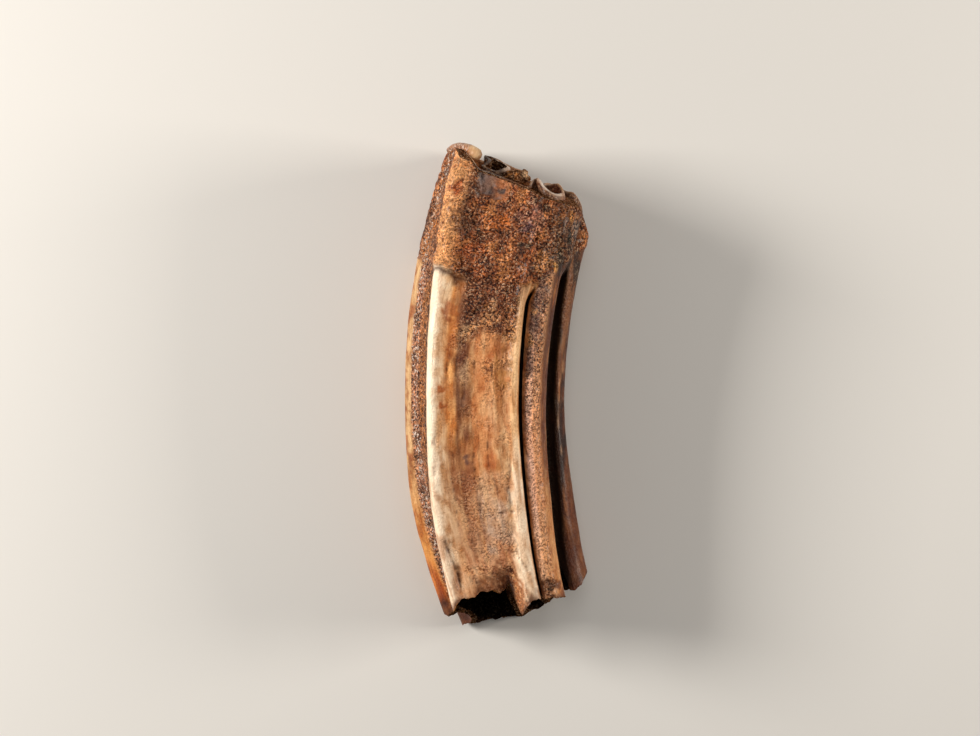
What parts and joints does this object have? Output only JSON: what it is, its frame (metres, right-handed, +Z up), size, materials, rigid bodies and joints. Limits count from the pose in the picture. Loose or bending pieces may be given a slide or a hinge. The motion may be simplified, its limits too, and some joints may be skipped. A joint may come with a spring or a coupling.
{
  "type": "fossil horse molar",
  "caption": "Fossil horse cheek tooth: a long bowed column with deep flutes, folded enamel on its worn chewing end, a rough cement crust and a broken, hollow root end.",
  "frame": {"origin": "middle of the bounding box's underside, where the tooth lies on its mesial face", "axes": "+Y from the broken root end to the chewing end, -X the cheek side, +X the tongue side, +Z up through the distal face"},
  "size_m": [0.032, 0.0834, 0.0255],
  "materials": {
    "tooth": "brown-stained fossil enamel and cement, satin"
  },
  "bodies": {
    "root": {"molar": "tooth"}
  },
  "joints": []
}
